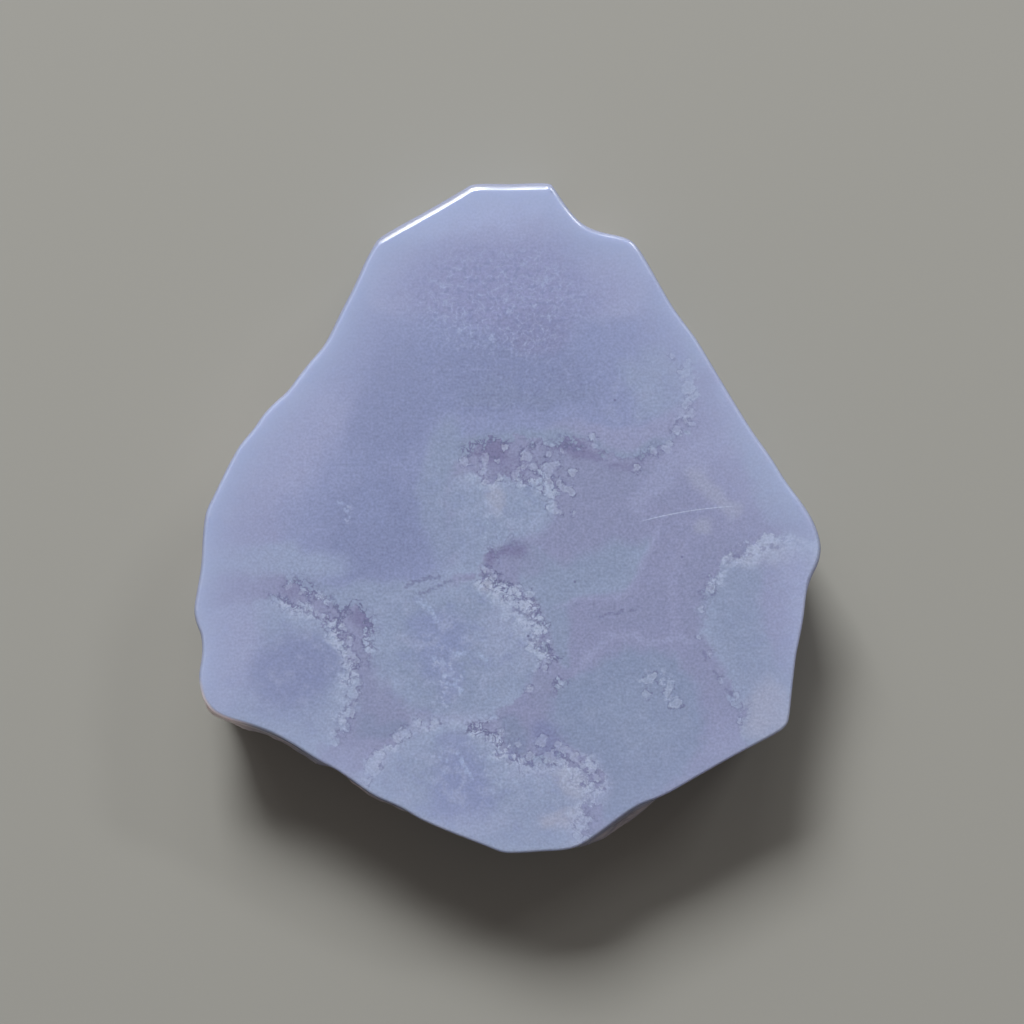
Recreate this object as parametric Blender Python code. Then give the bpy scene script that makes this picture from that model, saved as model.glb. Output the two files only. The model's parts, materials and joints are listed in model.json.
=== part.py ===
"""Blue lace agate slab, in one piece.

A thick slice of blue chalcedony lies flat on its sawn underside. Its top face is flat and
polished. The rim of the top face is worked to a bevel, widest at the top end and only just
broken elsewhere. The ground sides are nearly upright. The natural sides swell
and shrink below the rim, and carry shallow shell-shaped scars where flakes came off.

The part stands in its own frame, in metres: +Z is up, +Y runs towards the straight top end
of the slab, and the origin is the middle of its footprint on the surface that it lies on.
"""

import math
from collections import namedtuple

import bmesh
import bpy
from mathutils import Vector, noise

MM = 0.001

# Driving sizes, in millimetres.
THICKNESS = 14.0
FOOT_ROUND = 0.9
OUTLINE_SPACING = 1.2
WALL_ROWS = 10

# How much closer together the outline's points lie where it bends, as a length in millimetres.
BEND_LENGTH = 1.6

# The natural skin of the sides, in millimetres, and the wall rows over which it sets in.
SKIN_DEPTH = 0.45
SKIN_GRAIN = 5.0
SKIN_OCTAVES = 3
FADE_ROWS = 2

# A belly is widest above the middle of the wall. 1 would put it in the middle.
BELLY_SHARE = 0.62

# Edges that turn more than this, in degrees, stay crisp.
SHARP_ANGLE = 30

CHALCEDONY_COLOUR = (0.29, 0.34, 0.53, 1.0)
CHALCEDONY_ROUGHNESS = 0.18
CHALCEDONY_IOR = 1.54

# Each stretch of the side, clockwise from the upper left corner as seen from above. Sizes are
# in millimetres: edge is the width of the worked rim, belly is how far the wall stands out
# below the rim, and foot is how far its lower end stands out. Skin is 0 on a ground side and
# 1 on a natural one. The points are those of the rim's outer line.
Stretch = namedtuple("Stretch", "name edge belly foot skin points")

STRETCHES = (
    Stretch("upper left cut", 0.90, 0.0, -0.5, 0.10, ((-15.6, 35.4), (-9.7, 38.7), (-5.6, 41.1))),
    Stretch("top flat", 0.90, 0.0, -0.6, 0.05, ((-4.1, 41.8), (0.3, 41.8), (4.8, 41.9))),
    Stretch(
        "shoulder bay", 0.50, 0.0, 0.0, 0.45,
        ((5.8, 41.2), (7.0, 39.4), (8.7, 37.3), (10.3, 36.2), (12.2, 35.6)),
    ),
    Stretch(
        "shoulder", 0.45, 0.0, -0.4, 0.30,
        ((13.7, 35.3), (15.2, 34.8), (16.2, 33.9), (17.3, 32.2)),
    ),
    Stretch(
        "right cut", 0.40, 0.0, -0.8, 0.10,
        (
            (19.2, 28.8), (20.6, 26.4), (22.1, 24.3), (23.6, 22.3), (25.7, 18.8),
            (28.1, 14.8), (30.6, 10.8), (32.8, 7.7), (34.8, 4.5), (36.6, 2.1),
        ),
    ),
    Stretch(
        "right point", 0.50, 0.0, -1.6, 0.30,
        ((38.1, -0.2), (38.9, -2.2), (39.2, -4.0), (38.8, -5.9), (37.9, -7.7)),
    ),
    Stretch(
        "right face", 0.32, 0.0, -0.6, 0.25,
        (
            (37.3, -9.8), (37.1, -11.8), (36.6, -14.7), (36.1, -17.0), (35.7, -20.3),
            (35.3, -24.0),
        ),
    ),
    Stretch(
        "lower right corner", 0.32, 0.0, -0.9, 0.10,
        ((35.1, -25.5), (34.5, -26.4), (33.1, -27.3)),
    ),
    Stretch(
        "lower right cut", 0.28, 0.1, -0.4, 0.15,
        ((29.1, -29.4), (24.1, -32.2), (19.7, -34.7)),
    ),
    Stretch("lower right swell", 0.28, 1.7, 0.3, 0.70, ((16.4, -36.0), (14.1, -37.5), (11.7, -39.3))),
    Stretch("bottom turn", 0.28, 0.9, -0.2, 0.50, ((9.3, -40.9),)),
    Stretch(
        "bottom end", 0.28, 0.1, -0.8, 0.30,
        ((7.2, -41.6), (4.1, -41.8), (0.9, -42.0), (-0.8, -41.9), (-2.8, -41.1)),
    ),
    Stretch("lower left cut", 0.28, 0.0, -0.7, 0.20, ((-7.2, -39.4), (-10.9, -37.8))),
    Stretch(
        "lower left ledge", 0.28, 1.0, 0.2, 0.80,
        ((-13.4, -36.3), (-16.6, -34.9), (-19.4, -33.0)),
    ),
    Stretch("notch", 0.28, 0.0, -1.4, 0.70, ((-21.6, -31.5),)),
    Stretch("notch lip", 0.28, 1.2, -0.6, 0.70, ((-23.4, -30.6), (-25.0, -29.6))),
    Stretch(
        "lower left swell", 0.30, 1.35, 0.4, 0.80,
        ((-26.9, -28.4), (-29.7, -26.9), (-32.8, -25.8)),
    ),
    Stretch(
        "left heel", 0.50, 1.0, -0.3, 0.80,
        ((-34.9, -25.4), (-36.8, -24.5), (-38.0, -23.1)),
    ),
    Stretch(
        "left face", 0.45, 0.0, -0.5, 1.00,
        (
            (-38.5, -21.5), (-38.7, -19.7), (-38.3, -17.2), (-38.4, -14.8), (-39.0, -13.3),
            (-39.3, -11.5), (-38.9, -9.0), (-38.4, -5.9), (-38.2, -2.2), (-37.8, 0.7),
        ),
    ),
    Stretch(
        "upper left face", 0.42, 0.0, -0.7, 0.90,
        (
            (-36.8, 2.8), (-35.7, 5.1), (-34.7, 7.1), (-33.4, 9.3), (-31.9, 11.0),
            (-30.7, 12.8), (-29.1, 14.5), (-27.6, 15.8), (-26.2, 17.7), (-24.6, 19.7),
            (-23.2, 21.3),
        ),
    ),
    Stretch(
        "upper left rise", 0.50, 0.0, -0.4, 0.50,
        ((-22.1, 23.3), (-20.8, 26.0), (-19.4, 28.7), (-17.9, 32.0), (-16.8, 34.0)),
    ),
)

# Shell-shaped scars in the sides: the point of the outline that each lies nearest to, how deep
# below the top face its middle is, its length along the wall, its height and its depth, all in
# millimetres.
Scar = namedtuple("Scar", "x y below along tall deep")

SCARS = (
    Scar(-38.5, -16.0, 5.2, 9.0, 6.5, 1.1),
    Scar(-38.2, -4.0, 8.6, 12.0, 8.0, 1.0),
    Scar(-35.0, 6.5, 4.8, 8.5, 6.0, 0.9),
    Scar(-30.0, 13.6, 9.4, 11.0, 7.5, 1.2),
    Scar(-24.0, 20.5, 5.4, 9.0, 6.0, 0.9),
    Scar(-19.8, 28.0, 10.0, 10.0, 7.0, 0.8),
    Scar(8.7, 37.3, 7.4, 9.0, 9.0, 0.9),
    Scar(16.5, 32.6, 10.6, 7.5, 5.0, 0.6),
    Scar(37.3, -10.5, 8.0, 8.0, 9.5, 0.8),
    Scar(36.1, -18.0, 9.8, 9.0, 6.5, 0.5),
    Scar(15.0, -36.8, 10.0, 10.0, 6.0, 1.0),
    Scar(4.0, -41.7, 8.0, 9.0, 8.0, 0.6),
    Scar(-9.0, -38.6, 8.8, 9.5, 7.0, 0.6),
    Scar(-16.5, -34.9, 8.6, 8.0, 6.0, 1.0),
    Scar(-29.0, -27.1, 9.0, 11.0, 7.0, 1.2),
    Scar(-37.5, -23.6, 8.4, 8.0, 8.0, 0.8),
)

# The worked rim's section, from the top face's edge out to the wall: the share of the edge's
# width still to go, and the depth below the top face as a share of that width. The first step
# is the flat of the bevel, and the others round it over.
RIM_SECTION = ((1.0, 0.0), (0.42, 0.25), (0.20, 0.46), (0.05, 0.82), (0.0, 1.3))

# The foot's section, from the wall down to the underside, as shares of the foot's round.
FOOT_SECTION = ((0.0, 1.0), (0.29, 0.29), (1.0, 0.0))

Station = namedtuple("Station", "x y edge belly foot skin")


def stations():
    """Every point of the outline with its stretch's values."""
    return [
        Station(x, y, stretch.edge, stretch.belly, stretch.foot, stretch.skin)
        for stretch in STRETCHES
        for x, y in stretch.points
    ]


def between(before, start, end, after, share):
    """A point of the smooth closed curve through the stations, share of the way from start to end."""
    def value(a, b, c, d):
        return b + 0.5 * share * (
            c - a + share * (2 * a - 5 * b + 4 * c - d + share * (3 * (b - c) + d - a))
        )

    return Station(*map(value, before, start, end, after))


def fine_line(steps=24):
    """The closed outline in many small steps."""
    given = stations()
    count = len(given)
    return [
        between(given[i - 1], given[i], given[(i + 1) % count], given[(i + 2) % count], k / steps)
        for i in range(count)
        for k in range(steps)
    ]


def heading(line, i):
    """The direction of the closed line at its point i."""
    after = line[(i + 1) % len(line)]
    before = line[i - 1]
    return math.atan2(after.y - before.y, after.x - before.x)


def outline():
    """The closed outline as stations that lie closer together where it bends."""
    line = fine_line()
    count = len(line)
    costs = []
    for i in range(count):
        after = line[(i + 1) % count]
        length = math.hypot(after.x - line[i].x, after.y - line[i].y)
        turn = heading(line, (i + 1) % count) - heading(line, i)
        turn = abs(math.atan2(math.sin(turn), math.cos(turn)))
        costs.append(length + BEND_LENGTH * turn)
    wanted = round(sum(costs) / OUTLINE_SPACING)
    step = sum(costs) / wanted
    chosen = []
    gone = 0.0
    for i in range(count):
        if gone >= step * len(chosen) and len(chosen) < wanted:
            chosen.append(line[i])
        gone += costs[i]
    return chosen


def outward(line, i):
    """The unit vector that points out of the closed clockwise line at its point i."""
    angle = heading(line, i) + math.pi / 2
    return Vector((math.cos(angle), math.sin(angle), 0))


def length_along(line):
    """Each station's distance along the outline, and the outline's whole length."""
    gone = [0.0]
    for i in range(len(line)):
        after = line[(i + 1) % len(line)]
        gone.append(gone[-1] + math.hypot(after.x - line[i].x, after.y - line[i].y))
    return gone[:-1], gone[-1]


def nearest(line, x, y):
    """The number of the station nearest to a point."""
    return min(range(len(line)), key=lambda i: math.hypot(line[i].x - x, line[i].y - y))


def scar_depth(places, whole, starts, i, below):
    """How deep the scars cut the wall at station i, this far below the top face."""
    cut = 0.0
    for scar, start in zip(SCARS, starts):
        apart = abs(places[i] - places[start])
        apart = min(apart, whole - apart)
        away = math.hypot(apart / (scar.along / 2), (below - scar.below) / (scar.tall / 2))
        if away < 1.0:
            cut = max(cut, scar.deep * (1.0 - away * away))
    return cut


def skin_depth(station, below):
    """How deep the natural skin sinks in at a station, this far below the top face."""
    place = Vector((station.x, station.y, below)) / SKIN_GRAIN
    level = 0.5 - 0.5 * noise.fractal(place, 1.0, 2.0, SKIN_OCTAVES)
    return SKIN_DEPTH * station.skin * min(max(level, 0.0), 1.0)


def wall_offset(station, share):
    """How far the wall stands out from the rim's outer line, share of the way down the wall."""
    belly = station.belly * math.sin(math.pi * share ** BELLY_SHARE)
    foot = station.foot * share * share * (3 - 2 * share)
    return belly + foot


def section(line, i, places, whole, starts):
    """The side's section at station i: (distance out from the rim's line, height) pairs, top down."""
    station = line[i]
    rim = [(-station.edge * gap, THICKNESS - station.edge * drop) for gap, drop in RIM_SECTION]
    wall_top = rim[-1][1]
    rows = []
    for row in range(1, WALL_ROWS + 1):
        share = row / WALL_ROWS
        height = wall_top + (FOOT_ROUND - wall_top) * share
        below = THICKNESS - height
        fade = min(1.0, row / FADE_ROWS)
        cut = scar_depth(places, whole, starts, i, below) + skin_depth(station, below)
        rows.append((wall_offset(station, share) - cut * fade, height))
    foot_out = rows[-1][0]
    foot = [(foot_out - FOOT_ROUND * gap, FOOT_ROUND * up) for gap, up in FOOT_SECTION[1:]]
    return rim + rows + foot


def ring_stack():
    """The slab's rings of points from the top face's edge down to the underside's, in metres."""
    line = outline()
    places, whole = length_along(line)
    starts = [nearest(line, scar.x, scar.y) for scar in SCARS]
    columns = []
    for i, station in enumerate(line):
        out = outward(line, i)
        middle = Vector((station.x, station.y, 0))
        columns.append(
            [
                (middle + out * distance + Vector((0, 0, height))) * MM
                for distance, height in section(line, i, places, whole, starts)
            ]
        )
    return [list(ring) for ring in zip(*columns)]


def slab_mesh():
    """The closed mesh of the slab: its rings bridged into a side, and a flat face on each end."""
    bm = bmesh.new()
    loops = []
    for ring in ring_stack():
        points = [bm.verts.new(point) for point in ring]
        loops.append([bm.edges.new((points[i - 1], points[i])) for i in range(len(points))])
    for upper, lower in zip(loops, loops[1:]):
        bmesh.ops.bridge_loops(bm, edges=upper + lower)
    caps = bmesh.ops.edgeloop_fill(bm, edges=loops[0] + loops[-1])["faces"]
    bmesh.ops.triangulate(bm, faces=caps, ngon_method="BEAUTY")
    bmesh.ops.recalc_face_normals(bm, faces=bm.faces)
    low = [min(v.co[axis] for v in bm.verts) for axis in range(3)]
    high = [max(v.co[axis] for v in bm.verts) for axis in range(3)]
    base = Vector(((low[0] + high[0]) / 2, (low[1] + high[1]) / 2, low[2]))
    bmesh.ops.translate(bm, verts=bm.verts, vec=-base)
    mesh = bpy.data.meshes.new("slab")
    bm.to_mesh(mesh)
    bm.free()
    mesh.shade_smooth()
    mesh.set_sharp_from_angle(angle=math.radians(SHARP_ANGLE))
    return mesh


def chalcedony():
    """Polished blue chalcedony."""
    material = bpy.data.materials.new("blue chalcedony")
    material.use_nodes = True
    shader = material.node_tree.nodes["Principled BSDF"]
    shader.inputs["Base Color"].default_value = CHALCEDONY_COLOUR
    shader.inputs["Roughness"].default_value = CHALCEDONY_ROUGHNESS
    shader.inputs["Metallic"].default_value = 0.0
    shader.inputs["IOR"].default_value = CHALCEDONY_IOR
    return material


def main():
    for old in list(bpy.data.objects):
        bpy.data.objects.remove(old)
    parts = bpy.data.collections.new("blue lace agate slab")
    bpy.context.scene.collection.children.link(parts)
    slab = bpy.data.objects.new("slab", slab_mesh())
    slab.data.materials.append(chalcedony())
    parts.objects.link(slab)


main()
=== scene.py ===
"""The visible surface of the blue lace agate slab, with its floor, light and camera.

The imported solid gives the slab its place, outline and thickness. This script refines a copy of
it, roughens its natural sides, and gives it the growths, crusts, seams and rings of blue
chalcedony, all in the same frame, in metres.
"""

from __future__ import annotations

import json
import logging
import math
from dataclasses import dataclass, field
from enum import Enum
from functools import partial

import bmesh
import bpy
import numpy as np
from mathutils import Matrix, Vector, noise

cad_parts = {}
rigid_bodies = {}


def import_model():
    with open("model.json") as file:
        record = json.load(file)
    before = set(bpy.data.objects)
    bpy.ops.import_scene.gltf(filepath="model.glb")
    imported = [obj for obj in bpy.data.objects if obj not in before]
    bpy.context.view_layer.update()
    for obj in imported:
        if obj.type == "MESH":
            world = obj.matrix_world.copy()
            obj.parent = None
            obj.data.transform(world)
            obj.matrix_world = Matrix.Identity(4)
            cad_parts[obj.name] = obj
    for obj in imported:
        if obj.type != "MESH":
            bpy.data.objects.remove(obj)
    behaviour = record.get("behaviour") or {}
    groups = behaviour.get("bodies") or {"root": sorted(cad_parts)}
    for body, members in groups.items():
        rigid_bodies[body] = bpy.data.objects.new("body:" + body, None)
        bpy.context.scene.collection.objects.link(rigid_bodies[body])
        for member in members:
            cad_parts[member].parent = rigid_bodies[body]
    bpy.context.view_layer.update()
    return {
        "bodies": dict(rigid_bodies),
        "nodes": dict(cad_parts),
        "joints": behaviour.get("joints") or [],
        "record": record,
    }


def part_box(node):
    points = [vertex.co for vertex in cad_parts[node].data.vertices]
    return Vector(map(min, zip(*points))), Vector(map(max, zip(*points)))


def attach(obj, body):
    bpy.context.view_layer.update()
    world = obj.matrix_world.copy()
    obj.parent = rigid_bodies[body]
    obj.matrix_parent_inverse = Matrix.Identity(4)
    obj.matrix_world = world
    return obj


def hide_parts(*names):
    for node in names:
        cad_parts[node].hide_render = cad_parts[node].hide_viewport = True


LOG = logging.getLogger("slab")

MM = 0.001
# how a map range node fades wherever a tone's edge is soft
SMOOTH = {"interpolation_type": "SMOOTHSTEP"}

Colour = tuple[float, float, float, float]
Place = tuple[float, float]
Socket = bpy.types.NodeSocket


def linear(hex_colour: str) -> Colour:
    """Turns an sRGB hex colour into linear values.

    Args:
        hex_colour: six hex digits, red first.

    Returns:
        Red, green, blue and an alpha of 1.
    """
    channels = [int(hex_colour[i:i + 2], 16) / 255 for i in (0, 2, 4)]
    red, green, blue = (c / 12.92 if c <= 0.04045 else ((c + 0.055) / 1.055) ** 2.4 for c in channels)
    return red, green, blue, 1.0


def add_node(
    tree: bpy.types.NodeTree,
    kind: str,
    inputs: dict[int | str, object] | None = None,
    output: int = 0,
    **settings: object,
) -> Socket:
    """Adds a node with its settings and links.

    Args:
        tree: the node tree that takes the node.
        kind: the node's type, such as Math or TexNoise.
        inputs: a value or a socket for each named or numbered input.
        output: the number of the output that is wanted.
        settings: the node's own properties.

    Returns:
        The wanted output socket.
    """
    node = tree.nodes.new("ShaderNode" + kind)
    for name, value in settings.items():
        setattr(node, name, value)
    for key, value in (inputs or {}).items():
        if isinstance(value, Socket):
            tree.links.new(value, node.inputs[key])
        else:
            node.inputs[key].default_value = value
    return node.outputs[output]


class Tone(Enum):
    """The colours of the stone, and of the light and shade painted on it, as sRGB hex values."""

    INK = "6c7094"
    PLUM = "7a7a9e"
    INDIGO = "8088ad"
    LILAC_DARK = "8a91b0"
    LILAC = "8c92b2"
    LILAC_MID = "9298b8"
    LILAC_PALE = "9aa1c1"
    BLUE_DEEP = "838db0"
    BLUE = "8893b7"
    BLUE_MID = "8b95b8"
    SAGE_DARK = "838eac"
    SAGE_DEEP = "8794b1"
    SAGE = "8b98b4"
    SAGE_MID = "8f9cb8"
    SAGE_PALE = "94a1bd"
    MILK = "9ba5c2"
    PEBBLE = "abb6ce"
    VIOLET = "8c92b7"
    VIOLET_DARK = "858baf"
    CREAM = "a0a6bc"
    FROST = "a2b1d0"
    ICE = "abb7da"
    MIST = "9ca8c6"
    RIME = "a8b0c6"
    # painted shade for the sides, darkest where they look to the light
    GROUND = "7b8093"
    WEATHERED = "7e7782"
    # the natural skin's pale streaks, made paler still as painted light on its shaded sides
    RIND = "c6bcc1"
    # painted light: a pale pink that lifts the shaded lower left corner
    BLUSH = "e2d6d9"


@dataclass(frozen=True)
class Spot:
    """A soft oval in the face: its middle and half-lengths in mm, its strength, tone and turn."""

    x: float
    y: float
    across: float
    along: float
    share: float = 1.0
    tone: Tone = Tone.LILAC
    turn: float = 0.0


@dataclass(frozen=True)
class Vein:
    """A soft line in the face: its points and half-width in mm, its strength and tone."""

    points: tuple[Place, ...]
    half_width: float
    share: float
    tone: Tone


@dataclass(frozen=True)
class Pebble:
    """A pebble of crust in the face: its middle and half-width in mm, and a rod's reach and turn."""

    x: float
    y: float
    half_width: float
    reach: float = 0.0
    turn: float = 0.0


@dataclass(frozen=True)
class Growth:
    """One rounded growth of chalcedony.

    The skin is the growth's closed outline in the face, in mm. The bands are its tones by depth
    below that skin, in mm. The taper is how much it draws in for each mm below the face.
    """

    skin: tuple[Place, ...]
    bands: tuple[tuple[float, Tone], ...] = ()
    taper: float = 0.25


CLOUD = Growth(
    (
        (-44.7, 46.0), (26.6, 46.0), (26.6, 27.2), (24.4, 21.6), (23.7, 17.8), (23.1, 14.7), (22.1, 11.6),
        (20.1, 9.6), (17.8, 8.3), (14.3, 7.8), (11.6, 8.8), (9.1, 9.5), (6.6, 8.8), (4.1, 9.2), (1.6, 10.0),
        (-0.9, 10.3), (-2.9, 9.6), (-4.9, 8.6), (-6.4, 7.0), (-7.2, 4.7), (-7.4, 2.2), (-7.2, -0.3),
        (-6.3, -3.4), (-6.6, -6.5), (-7.6, -9.6), (-11.6, -11.4), (-15.3, -12.8), (-17.4, -12.8),
        (-18.6, -11.8), (-21.6, -11.0), (-23.7, -10.1), (-25.9, -8.6), (-27.8, -7.4), (-31.6, -7.2),
        (-35.3, -7.2), (-39.7, -7.0), (-48.4, -5.8),
    ),
    (
        (0.0, Tone.SAGE), (1.6, Tone.SAGE), (3.2, Tone.BLUE_MID), (6.0, Tone.BLUE_MID),
        (9.0, Tone.BLUE_MID),
    ),
    taper=0.1,
)
POCKET = Growth(
    (
        (-6.9, 5.2), (-4.7, 5.5), (-2.7, 4.2), (-0.9, 4.8), (1.6, 4.7), (3.8, 5.1), (5.6, 4.2), (6.2, 2.5),
        (5.7, 0.7), (4.8, -1.0), (3.6, -2.2), (0.9, -2.7), (-1.4, -3.4), (-2.7, -4.4), (-3.1, -5.8),
        (-3.7, -6.9), (-5.4, -7.6), (-7.8, -6.4), (-6.9, -4.4), (-8.3, -1.9), (-7.0, 0.4), (-8.6, 2.4),
        (-7.6, 4.2),
    ),
    ((0.0, Tone.SAGE_PALE), (1.5, Tone.SAGE_MID), (4.0, Tone.SAGE_MID)),
    taper=0.5,
)
DISC_E = Growth(
    (
        (5.1, -22.8), (6.6, -20.8), (9.1, -19.3), (12.2, -17.8), (14.7, -16.4), (17.8, -16.3),
        (20.6, -17.5), (22.8, -19.8), (24.1, -22.8), (24.6, -25.9), (24.1, -29.0), (21.6, -32.2),
        (17.8, -35.3), (12.8, -37.8), (10.3, -35.3), (11.6, -32.8), (10.3, -30.9), (8.4, -29.0),
        (6.6, -27.2), (5.3, -25.0),
    ),
    ((0.0, Tone.SAGE_DEEP), (3.0, Tone.SAGE_DEEP), (6.0, Tone.SAGE)),
)
ORB_D = Growth(
    (
        (29.1, -4.3), (27.1, -5.5), (25.6, -7.2), (24.8, -9.0), (24.4, -11.0), (24.4, -13.4), (24.8, -15.4),
        (25.7, -17.3), (26.9, -19.2), (27.9, -21.0), (28.8, -22.8), (29.2, -24.8), (29.2, -26.9),
        (30.1, -28.8), (34.1, -34.0), (44.1, -30.3), (44.1, -0.3), (39.1, -2.5), (35.9, -2.0), (32.2, -2.4),
        (30.3, -3.3),
    ),
    (
        (0.0, Tone.SAGE_PALE), (1.0, Tone.SAGE_MID), (2.5, Tone.SAGE), (6.0, Tone.SAGE),
        (9.0, Tone.LILAC_MID),
    ),
    taper=-0.15,
)
ORB_A = Growth(
    (
        (-40.9, -15.3), (-38.4, -11.8), (-33.4, -10.3), (-29.7, -10.0), (-27.2, -10.8), (-25.3, -11.0),
        (-23.4, -12.5), (-21.4, -14.0), (-20.2, -15.8), (-19.4, -17.8), (-18.8, -20.0), (-18.7, -22.2),
        (-19.3, -24.3), (-20.4, -26.3), (-21.7, -27.8), (-23.2, -29.3), (-25.9, -34.0), (-40.9, -30.3),
    ),
    ((0.0, Tone.SAGE_PALE), (1.6, Tone.SAGE_PALE), (3.4, Tone.SAGE_MID), (6.0, Tone.SAGE_MID)),
    taper=-0.1,
)
ORB_B = Growth(
    (
        (-17.2, -13.0), (-16.2, -11.5), (-14.4, -10.5), (-12.2, -9.7), (-9.4, -8.9), (-6.2, -8.2),
        (-3.4, -7.5), (-0.9, -7.9), (1.1, -9.0), (2.8, -10.5), (4.1, -12.5), (4.7, -15.0), (4.8, -17.2),
        (4.1, -18.8), (3.1, -20.5), (1.8, -22.0), (0.3, -23.5), (-1.2, -24.8), (-3.4, -25.5), (-6.4, -25.5),
        (-9.4, -25.0), (-11.9, -23.8), (-13.8, -22.4), (-15.4, -20.8), (-16.7, -18.8), (-17.4, -16.5),
        (-17.6, -14.5),
    ),
    ((0.0, Tone.SAGE_PALE), (1.2, Tone.SAGE_MID), (4.0, Tone.SAGE), (9.0, Tone.SAGE)),
)
ORB_C = Growth(
    (
        (-19.4, -34.0), (-18.4, -31.8), (-17.7, -30.3), (-16.2, -29.0), (-14.4, -27.9), (-12.4, -26.0),
        (-10.3, -25.2), (-7.4, -24.9), (-4.7, -25.3), (-2.4, -26.8), (-0.7, -28.3), (0.6, -29.8),
        (2.8, -30.5), (5.1, -30.3), (6.6, -29.9), (8.3, -31.0), (9.8, -32.3), (10.7, -34.0), (10.1, -36.0),
        (9.3, -37.8), (10.3, -40.0), (7.8, -45.3), (-10.9, -45.3), (-20.9, -37.8),
    ),
    ((0.0, Tone.MILK), (1.5, Tone.SAGE_PALE), (4.0, Tone.SAGE_MID), (9.0, Tone.SAGE_MID)),
    taper=-0.1,
)

GROWTHS = (CLOUD, DISC_E, POCKET, ORB_D, ORB_B, ORB_A, ORB_C)

# the tones between the growths: the broad ones under the crescent, and those over it
BROAD_SPOTS = (
    Spot(29.7, 8.5, 7.5, 9.0, 0.8, Tone.LILAC_MID),
    Spot(12.8, 5.2, 11.0, 3.2, 1.0, Tone.LILAC_DARK, -8.0),
    Spot(10.3, 0.5, 7.5, 4.5, 0.6, Tone.LILAC_DARK),
)
OUTER_SPOTS = (
    Spot(15.1, -11.8, 5.0, 1.8, 0.5, Tone.LILAC_DARK, 20.0),
    Spot(3.4, -21.0, 1.4, 3.2, 1.0, Tone.LILAC_DARK, 20.0),
    Spot(-18.1, -14.5, 1.2, 4.2, 1.0, Tone.LILAC_DARK),
    Spot(-16.2, -22.8, 4.0, 4.5, 0.9, Tone.LILAC_DARK, -30.0),
    Spot(-15.3, -26.9, 3.4, 1.4, 0.9, Tone.SAGE_DARK),
    Spot(-20.3, -30.0, 3.0, 1.8, 0.8, Tone.LILAC_MID),
    Spot(32.6, 5.2, 2.4, 8.0, 0.9, Tone.SAGE_PALE, 31.0),
    Spot(24.7, -1.8, 1.7, 1.4, 0.55, Tone.CREAM),
    Spot(26.8, -28.0, 4.6, 3.0, 0.8, Tone.LILAC_MID, 25.0),
    Spot(0.8, -26.4, 2.0, 2.0, 1.0, Tone.SAGE_DARK),
    Spot(5.6, -26.9, 3.0, 1.9, 0.9, Tone.INDIGO),
    Spot(1.6, -29.3, 3.2, 1.1, 1.0, Tone.INDIGO),
    Spot(-2.4, 8.4, 2.6, 1.9, 0.9, Tone.PLUM),
    Spot(0.6, 6.4, 3.2, 1.5, 0.4, Tone.PLUM),
    Spot(8.2, 8.7, 2.6, 1.0, 0.8, Tone.PLUM),
    Spot(14.1, 7.6, 3.2, 0.8, 0.5, Tone.PLUM),
    Spot(1.8, -5.6, 3.6, 1.5, 0.7, Tone.LILAC_DARK),
    Spot(-0.1, -4.6, 3.4, 1.5, 0.8, Tone.PLUM),
    Spot(-2.2, -5.4, 1.3, 1.5, 0.8, Tone.PLUM),
    Spot(-19.2, -12.3, 2.4, 1.1, 0.8, Tone.PLUM, -8.0),
    Spot(-27.0, -8.9, 2.2, 1.2, 0.5, Tone.PLUM, -30.0),
)
OUTER_VEINS = (
    Vein(
        (
            (30.5, -3.2), (27.0, -4.6), (24.2, -8.0), (23.4, -12.0), (23.6, -16.0), (25.6, -20.0),
            (27.6, -23.5),
        ),
        1.3, 0.6, Tone.LILAC_DARK,
    ),
    Vein(
        ((6.0, -21.0), (8.6, -18.6), (12.6, -16.6), (15.1, -14.9), (18.2, -14.2), (22.0, -14.4)),
        0.5, 0.5, Tone.LILAC_PALE,
    ),
    Vein(
        ((6.6, -10.6), (11.0, -10.6), (14.6, -9.0), (17.2, -5.6), (18.6, -2.0)),
        0.4, 0.4, Tone.LILAC_PALE,
    ),
    Vein(((22.6, -3.8), (21.4, -8.6), (20.8, -12.8)), 1.0, 0.5, Tone.LILAC_MID),
    Vein(((16.0, 1.0), (17.4, 3.6), (20.4, 5.8), (24.0, 7.0), (27.6, 9.8)), 1.5, 0.5, Tone.LILAC_PALE),
    Vein(((24.1, 5.0), (25.3, 3.2), (26.6, 1.6), (28.8, 1.1)), 1.0, 0.6, Tone.CREAM),
)
# a disc that shows only as a crescent, and the pale flank that joins it to the orb beside it
CRESCENT = Growth(
    (
        (8.8, 9.5), (12.9, 8.6), (16.6, 6.0), (18.3, 2.2), (18.6, -1.5), (17.2, -5.3), (14.6, -8.3),
        (11.6, -9.9), (7.8, -10.3), (4.2, -9.8), (1.6, -7.8), (-0.3, -4.7), (-0.9, -0.3), (0.1, 4.7),
        (3.4, 8.2),
    ),
)
FLANK = Growth(
    (
        (3.8, -5.3), (6.6, -4.8), (8.4, -7.2), (9.1, -11.5), (8.6, -15.9), (6.8, -18.0), (5.1, -17.8),
        (5.1, -14.0), (4.1, -10.3),
    ),
)
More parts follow.
